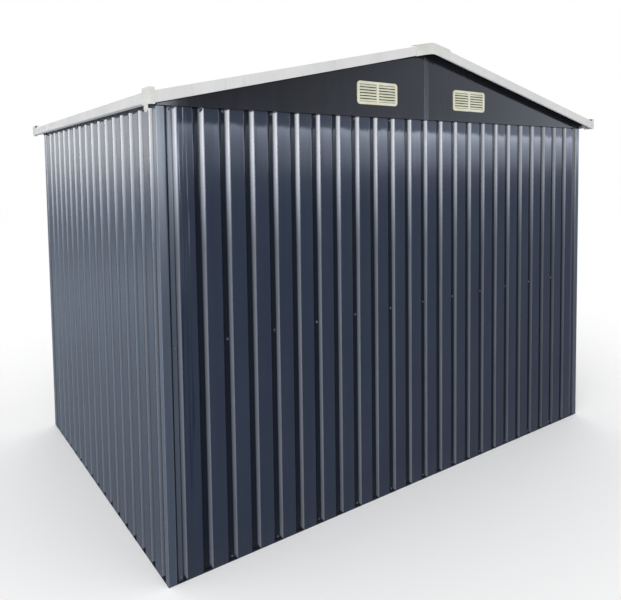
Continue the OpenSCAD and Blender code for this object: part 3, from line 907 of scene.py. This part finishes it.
def corner_cap(name, with_tongue):
    """Moulded cap over the trims' ends at the +X +Y corner"""
    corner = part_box("corner_caps")[1]
    wide, deep = 21 * MM, 60 * MM
    cap = add(
        bpy.ops.mesh.primitive_cube_add, name, size=1, scale=(wide, deep, CAP_TALL),
        location=(corner.x - wide / 2, corner.y - deep / 2, corner.z - CAP_TALL / 2),
    )
    edit(cap)
    pick(cap, lambda f: f.normal.z < -0.5 or f.normal.x < -0.5 or f.normal.y < -0.5, "FACE")
    bpy.ops.mesh.delete(type="FACE")
    done()
    if with_tongue:
        tongue(cap, corner)

    def outer_fold(edge):
        a, b = edge.link_faces[0].normal, edge.link_faces[-1].normal
        return len(edge.link_faces) == 2 and a.dot(b) < 0.5

    edit(cap)
    pick(cap, outer_fold, "EDGE")
    bpy.ops.mesh.bevel(offset=4 * MM, segments=4, affect="EDGES")
    done()
    thicken(cap, CAP)
    return smooth(cap, 40)


def corner_caps():
    """Four caps, of which the one at the +X +Y corner has a tongue. The gloss doesn't see them."""
    near = corner_cap("near_cap", True)
    plain = corner_cap("plain_cap", False)
    others = [
        mirrored(plain, "cap_2", (1, 0, 0)), mirrored(plain, "cap_3", (0, 1, 0)),
        copy(plain, "cap_4", Matrix.Rotation(pi, 4, "Z")),
    ]
    bpy.data.objects.remove(plain)
    caps = finish(join("corner_mouldings", [near] + others), CAP_WHITE, "cap_plastic", "corner_caps")
    caps.visible_glossy = False


corner_caps()


def ridge_end_caps():
    """Moulded caps over the verge trims' upper ends, rounded at the peak"""
    half, soft, back = 107 * MM, 45 * MM, 30 * MM
    above, below = 31 * MM, 18 * MM
    top, bottom = RIDGE_Z + above, RIDGE_Z - below
    y = VERGE_Y + CAP
    columns = 24
    cap = add(
        bpy.ops.mesh.primitive_grid_add, "ridge_end", x_subdivisions=columns, y_subdivisions=1, size=1,
        location=(0, y, (top + bottom) / 2), rotation=(-pi / 2, 0, 0), scale=(2 * half, top - bottom, 1),
    )
    edit(cap)
    for i in range(columns + 1):
        x = (2 * i / columns - 1) * half
        pick(cap, lambda v: abs(v.co.x - x) < 0.5 * MM)
        bpy.ops.transform.translate(value=(0, 0, -SLOPE * sqrt(x * x + soft * soft / 4)))

    def on_top(edge):
        if abs(direction(edge).x) < 0.5 or len(edge.link_faces) > 1:
            return False
        return middle(edge).z > (top + bottom) / 2 - SLOPE * abs(middle(edge).x)

    pick(cap, on_top, "EDGE")
    bpy.ops.mesh.extrude_edges_move(TRANSFORM_OT_translate={"value": (0, -back - CAP, 0)})

    def top_fold(edge):
        return len(edge.link_faces) == 2 and edge.link_faces[0].normal.dot(edge.link_faces[1].normal) < 0.5

    pick(cap, top_fold, "EDGE")
    bpy.ops.mesh.bevel(offset=3 * MM, segments=3, affect="EDGES")
    done()
    thicken(cap, CAP)
    smooth(cap, 40)
    twin = copy(cap, "ridge_end_2", Matrix.Rotation(pi, 4, "Z"))
    finish(join("ridge_mouldings", [cap, twin]), CAP_WHITE, "cap_plastic", "ridge_end_caps")


ridge_end_caps()

# ---- Doors ----

LEAF_X0 = 0.3 * MM
LEAF_LAP = 20 * MM
LEAF_W = DOOR_W / 2 + LEAF_LAP - LEAF_X0
LEAF_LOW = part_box("right_door_leaf")[0].z
LEAF_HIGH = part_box("right_door_leaf")[1].z
LEAF_TALL = LEAF_HIGH - LEAF_LOW
PULL_Z = 900 * MM


def edging(name, low, high, offset):
    """Channel folded round one edge of a leaf"""
    path = [(DOOR_EDGE, DOOR_T), (0, DOOR_T), (0, -STEEL), (DOOR_EDGE, -STEEL)]
    bar = folded(name, path, low, high, STEEL, 1.2 * MM)
    return put(bar, Matrix.Translation(offset))


def leaf_panel():
    """Ribbed sheet of one leaf"""
    path = [(-LEAF_W / 2 + STEEL, 0)]
    for i in range(groove_count(LEAF_W)):
        path += groove(groove_x(LEAF_W, i))
    path.append((LEAF_W / 2 - STEEL, 0))
    panel = folded("right_leaf_ribs", path, STEEL, LEAF_TALL - STEEL, SHEET)
    return put(panel, Matrix.Translation((LEAF_W / 2, 0, 0)))


def leaf_edging():
    """Channels round all four edges of one leaf"""
    opposite = Matrix.Translation((LEAF_W, 0, LEAF_TALL)) @ Matrix.Rotation(pi, 4, "Y")
    near = edging("edge_1", 0, LEAF_TALL, (0, 0, 0))
    far = copy(near, "edge_2", opposite)
    flat = edging("edge_3", DOOR_EDGE, LEAF_W - DOOR_EDGE, (0, 0, 0))
    top = put(flat, Matrix.Translation((0, 0, LEAF_TALL)) @ Matrix.Rotation(pi / 2, 4, "Y"))
    foot = copy(top, "edge_4", opposite)
    return join("right_leaf_edging", [near, far, top, foot])


def leaf_pull():
    """Bow handle on a leaf's meeting edge"""
    grip, foot, reach, bar, wide = 75 * MM, 18 * MM, 18 * MM, 5 * MM, 14 * MM
    knee = 3 * MM
    bow = [
        (0, -grip), (-knee, -grip + foot / 2), (-reach + bar, -grip + foot),
        (-reach + bar, grip - foot), (-knee, grip - foot / 2), (0, grip),
    ]
    pull = folded("right_leaf_pull", bow, -wide / 2, wide / 2, 0, 6 * MM, 4)
    thicken(pull, -bar)
    modify(pull, "BEVEL", width=1.2 * MM, segments=2, limit_method="ANGLE", angle_limit=radians(50))
    smooth(pull, 45)
    return put(pull, Matrix.Translation((DOOR_EDGE / 2, -STEEL, PULL_Z)) @ ALONG_X)


def door_leaves():
    place = turned(FRONT, HALF_D) @ Matrix.Translation((LEAF_X0, DOOR_SET, LEAF_LOW))
    for piece, left_name, material, slot in (
        (leaf_panel(), "left_leaf_ribs", NAVY_DOOR, "door_sheet"),
        (leaf_edging(), "left_leaf_edging", NAVY_DOOR, "door_sheet"),
        (leaf_pull(), "left_leaf_pull", PULL_WHITE, "white_trim"),
    ):
        put(piece, place)
        twin = mirrored(piece, left_name, (1, 0, 0))
        finish(piece, material, slot, "right_door_leaf")
        finish(twin, material, slot, "left_door_leaf")


door_leaves()

# ---- Screws ----

FOOT_ROW = 12 * MM
BRACE_ROW = 830 * MM
TOP_ROW_DOWN = 8 * MM


def screw_head():
    """Dome-headed screw with its washer, seated at the origin and facing -Y"""
    washer, washer_t, rim, dome, crown = 5.2 * MM, 0.8 * MM, 1.2 * MM, 1.4 * MM, 0.8 * MM
    head = add(
        bpy.ops.mesh.primitive_cylinder_add, "screw", vertices=10, radius=washer, depth=washer_t,
        location=(0, -washer_t / 2, 0), rotation=(pi / 2, 0, 0),
    )
    edit(head)
    pick(head, lambda f: f.normal.y < -0.9, "FACE")
    bpy.ops.mesh.inset(thickness=rim)
    for rise, taper in ((dome, 0.86), (crown, 0.5)):
        bpy.ops.mesh.extrude_region_move(TRANSFORM_OT_translate={"value": (0, -rise, 0)})
        bpy.ops.transform.resize(value=(taper, 1, taper), center_override=(0, 0, 0))
    done()
    return smooth(head, 50)


def screw_field(name, master, places):
    """One piece of many screws, each copied from the master by a matrix"""
    screws = [copy(master, f"{name}_{i}", place) for i, place in enumerate(places)]
    finish(join(name, screws), SCREW_ZINC, "post_steel")


def wall_screws(length, top):
    """Places in a wall's frame: three rows, in the bottom of every other groove. At a wall's ends
    the heads sit a post's thickness higher, and elsewhere a sheet's."""
    aside = 1.5 * MM
    last = groove_count(length) - 1
    places = []
    for height in (BRACE_ROW, FOOT_ROW, top - TOP_ROW_DOWN):
        for i in range(0, last + 1, 2):
            deep = DEPTH - (STEEL if i in (0, last) else SHEET)
            places.append(Matrix.Translation((groove_x(length, i) + aside, deep, height)))
    return places


def all_screws():
    master = screw_head()
    for side, angle, half, length in (
        ("rear", REAR, HALF_D, 2 * HALF_W),
        ("right", RIGHT, HALF_W, 2 * HALF_D),
        ("left", LEFT, HALF_W, 2 * HALF_D),
    ):
        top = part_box(f"{side}_wall_sheet_1")[1].z
        place = turned(angle, half)
        screw_field(f"{side}_screws", master, [place @ spot for spot in wall_screws(length, top)])
    bpy.data.objects.remove(master)


all_screws()

# ---- CAD pieces that keep their shape ----

KEPT = {
    RAIL_PAINT: (
        "rear_base_rail", "right_base_rail", "left_base_rail", "front_door_sill", "front_door_track",
    ),
    ZINC: (
        "wall_braces", "right_eave_rail", "left_eave_rail", "rear_top_rail", "ridge_beam", "roof_purlins",
    ),
    NAVY_DOOR: ("door_jambs",),
}
for material, nodes in KEPT.items():
    for node in nodes:
        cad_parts[node].data.materials.clear()
        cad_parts[node].data.materials.append(material)

# ---- Floor and light ----


def pale_floor():
    floor = add(bpy.ops.mesh.primitive_plane_add, "floor", size=60, location=(0, 0, -0.5 * MM))
    material, tree, shader, place = finish_of("pale_floor")
    shader.inputs["Base Color"].default_value = (1, 1, 1, 1)
    shader.inputs["Roughness"].default_value = 0.9
    shader.inputs["Specular IOR Level"].default_value = 0.1
    floor.data.materials.append(material)
    floor.visible_glossy = False


# Colours of the light in the gloss: cool in the hall, a little less so on the lit wall
TINT = (0.90, 0.98, 1.14)
LIT_TINT = (0.91, 0.985, 1.12)
GREY = (1, 1, 1)
LIT_WAY = (0.82, 0.57)


def ramp(tree, value, low, high, stops, tint=TINT):
    """Brightness along a value, as a list of (value, brightness) stops"""
    node = tree.nodes.new("ShaderNodeValToRGB")
    elements = node.color_ramp.elements
    brightest = max(level for _, level in stops)
    for i, (at, level) in enumerate(stops):
        spot = (at - low) / (high - low)
        element = elements[i] if i < 2 else elements.new(spot)
        element.position = spot
        element.color = (*[level / brightest * part for part in tint], 1)
    tree.links.new(remap(tree, value, low, high, 0, 1), node.inputs[0])
    return scaled(tree, node.outputs[0], brightest)


def added(tree, first, second):
    node = tree.nodes.new("ShaderNodeVectorMath")
    node.operation = "ADD"
    tree.links.new(first, node.inputs[0])
    tree.links.new(second, node.inputs[1])
    return node.outputs[0]


def multiplied(tree, first, second):
    node = tree.nodes.new("ShaderNodeVectorMath")
    node.operation = "MULTIPLY"
    tree.links.new(first, node.inputs[0])
    tree.links.new(second, node.inputs[1])
    return node.outputs[0]


def scaled(tree, colour, factor):
    node = tree.nodes.new("ShaderNodeVectorMath")
    node.operation = "SCALE"
    tree.links.new(colour, node.inputs[0])
    if isinstance(factor, (int, float)):
        node.inputs["Scale"].default_value = factor
    else:
        tree.links.new(factor, node.inputs["Scale"])
    return node.outputs[0]


def hall_gloss(tree, steep, across, along):
    """Past the gable end: a bright opening in bays, cut off above by a lintel, and a paler corner"""
    bays = remap(tree, noise(tree, along, 22.0, 3, 0.6), 0.3, 0.7, 0.7, 1.3)
    opening = ramp(tree, steep, -0.3, 0.3, [
        (-0.30, 0.02), (-0.10, 0.04), (-0.067, 0.08), (-0.041, 0.25), (-0.015, 0.5), (0.006, 1.15),
        (0.0265, 2.1), (0.047, 2.9), (0.063, 3.8), (0.073, 4.7), (0.0895, 6.9), (0.091, 0.0),
    ])
    gain = ramp(tree, across, -2.5, 0.5, [
        (-2.5, 0.6), (-1.63, 0.75), (-1.0, 1.0), (-0.7, 0.75), (-0.44, 0.4), (0.5, 0.4),
    ], GREY)
    lintel = ramp(tree, across, -2.5, 0.5, [
        (-2.5, 2.2), (-1.63, 2.1), (-1.0, 1.25), (-0.44, 0.5), (0.5, 0.5),
    ])
    over = remap(tree, steep, 0.0895, 0.091, 0, 1)
    hall = scaled(tree, opening, math_node(tree, "MULTIPLY", bays, gain))
    hall = added(tree, hall, blend_colour(tree, over, tuple(0.30 * part for part in TINT), lintel))
    corner = ramp(tree, steep, -0.3, 0.3, [
        (-0.30, 0.0), (-0.23, 0.2), (-0.145, 0.9), (-0.056, 3.2), (-0.02, 5.6), (0.016, 7.4), (0.05, 8.6),
        (0.13, 7.5), (0.20, 0.8),
    ], LIT_TINT)
    return blend_colour(tree, remap(tree, across, -0.419, -0.413, 0, 1), hall, corner)


def sky_gloss(tree, steep, across, along):
    """Past the door end: a bright sky over a ragged skyline, and a bluer ground"""
    roofs = noise(tree, along, 90.0, 3, 0.7)
    skyline = math_node(tree, "ADD", steep, remap(tree, roofs, 0.35, 0.65, -0.09, 0.07))
    clouds = remap(tree, noise(tree, along, 150.0, 2, 0.6), 0.35, 0.65, 0.72, 1.25)
    sky = ramp(tree, skyline, -0.7, 0.3, [
        (-0.70, 0.40), (-0.50, 0.46), (-0.30, 0.66), (-0.21, 0.85), (-0.15, 0.76), (-0.10, 0.55),
        (-0.04, 0.72), (-0.012, 1.0), (0.0, 1.65), (0.05, 2.1), (0.14, 1.8), (0.30, 0.8),
    ], GREY)
    above = remap(tree, skyline, -0.06, 0.01, 0, 1)
    haze = blend_colour(tree, above, (0.82, 0.97, 1.16), (0.98, 1.0, 1.01))
    fade = remap(tree, across, 0.19, 0.38, 0.55, 1.0)
    return multiplied(tree, scaled(tree, sky, math_node(tree, "MULTIPLY", fade, clouds)), haze)


def lit_wall_gloss(tree, z, across, along):
    """Off the near corner: a brightly lit wall, dimmer far along it and warmer high up"""
    lit = ramp(tree, z, -0.5, 0.3, [
        (-0.50, 3.6), (-0.42, 4.4), (-0.25, 5.2), (-0.12, 5.6), (-0.08, 8.0), (-0.03, 14.0), (0.0, 19.0),
        (0.05, 25.0), (0.11, 23.0), (0.20, 1.0), (0.30, 0.8),
    ], LIT_TINT)
    panes = remap(tree, noise(tree, along, 26.0, 3, 0.6), 0.38, 0.62, 0.7, 1.25)
    reach = ramp(tree, across, 0.6, 3.6, [
        (0.70, 0.42), (0.825, 0.52), (0.98, 0.72), (1.15, 0.82), (1.6, 0.9), (3.6, 0.9),
    ], GREY)
    high = remap(tree, z, -0.04, 0.06, 0, 1)
    warmth = blend_colour(tree, high, (1.0, 1.0, 1.0), (1.05, 1.0, 0.93))
    return multiplied(tree, scaled(tree, lit, math_node(tree, "MULTIPLY", panes, reach)), warmth)


def gloss_surroundings(tree):
    """Colour seen by a mirrored ray, from how far across and how steeply it leaves"""
    ray = tree.nodes.new("ShaderNodeTexCoord").outputs["Generated"]
    axes = tree.nodes.new("ShaderNodeSeparateXYZ")
    tree.links.new(ray, axes.inputs[0])
    x, y, z = axes.outputs
    away = math_node(tree, "MAXIMUM", math_node(tree, "ABSOLUTE", y), 0.02)
    steep = math_node(tree, "DIVIDE", z, away)
    across = math_node(tree, "DIVIDE", x, away)
    line = tree.nodes.new("ShaderNodeCombineXYZ")
    tree.links.new(across, line.inputs[0])
    along = line.outputs[0]

    hall = hall_gloss(tree, steep, across, along)
    sky = sky_gloss(tree, steep, across, along)
    lit = lit_wall_gloss(tree, z, across, along)
    around = blend_colour(tree, remap(tree, y, -0.15, 0.15, 0, 1), sky, hall)

    level_x = math_node(tree, "MULTIPLY", x, x)
    level_y = math_node(tree, "MULTIPLY", y, y)
    level = math_node(tree, "SQRT", math_node(tree, "ADD", level_x, level_y))
    corner_x = math_node(tree, "MULTIPLY", x, LIT_WAY[0])
    corner_y = math_node(tree, "MULTIPLY", y, LIT_WAY[1])
    towards = math_node(tree, "DIVIDE", math_node(tree, "ADD", corner_x, corner_y), level)
    return blend_colour(tree, remap(tree, towards, 0.64, 0.82, 0, 1), around, lit)


def studio_dome():
    """White room for the eye and for soft light, with surroundings that only the gloss sees"""
    world = bpy.data.worlds.new("studio")
    bpy.context.scene.world = world
    world.use_nodes = True
    tree = world.node_tree
    tree.nodes.clear()
    back = tree.nodes.new("ShaderNodeBackground")
    back.inputs["Color"].default_value = (1, 1, 1, 1)
    seen = tree.nodes.new("ShaderNodeBackground")
    tree.links.new(gloss_surroundings(tree), seen.inputs["Color"])
    path = tree.nodes.new("ShaderNodeLightPath")
    mix = tree.nodes.new("ShaderNodeMixShader")
    out = tree.nodes.new("ShaderNodeOutputWorld")
    tree.links.new(path.outputs["Is Glossy Ray"], mix.inputs[0])
    tree.links.new(back.outputs[0], mix.inputs[1])
    tree.links.new(seen.outputs[0], mix.inputs[2])
    tree.links.new(mix.outputs[0], out.inputs[0])


def soft_light(name, at, aim, size, power):
    data = bpy.data.lights.new(name, "AREA")
    data.shape = "DISK"
    data.size = size
    data.energy = power
    lamp = bpy.data.objects.new(name, data)
    bpy.context.scene.collection.objects.link(lamp)
    lamp.location = at
    lamp.rotation_euler = (Vector(aim) - Vector(at)).to_track_quat("-Z", "Y").to_euler()
    lamp.visible_glossy = False
    lamp.visible_camera = False


pale_floor()
studio_dome()
soft_light("soft_key", at=(4.5, 4.0, 5.5), aim=(0, 0, 0.8), size=4, power=90)
bpy.context.scene.view_settings.view_transform = "Standard"
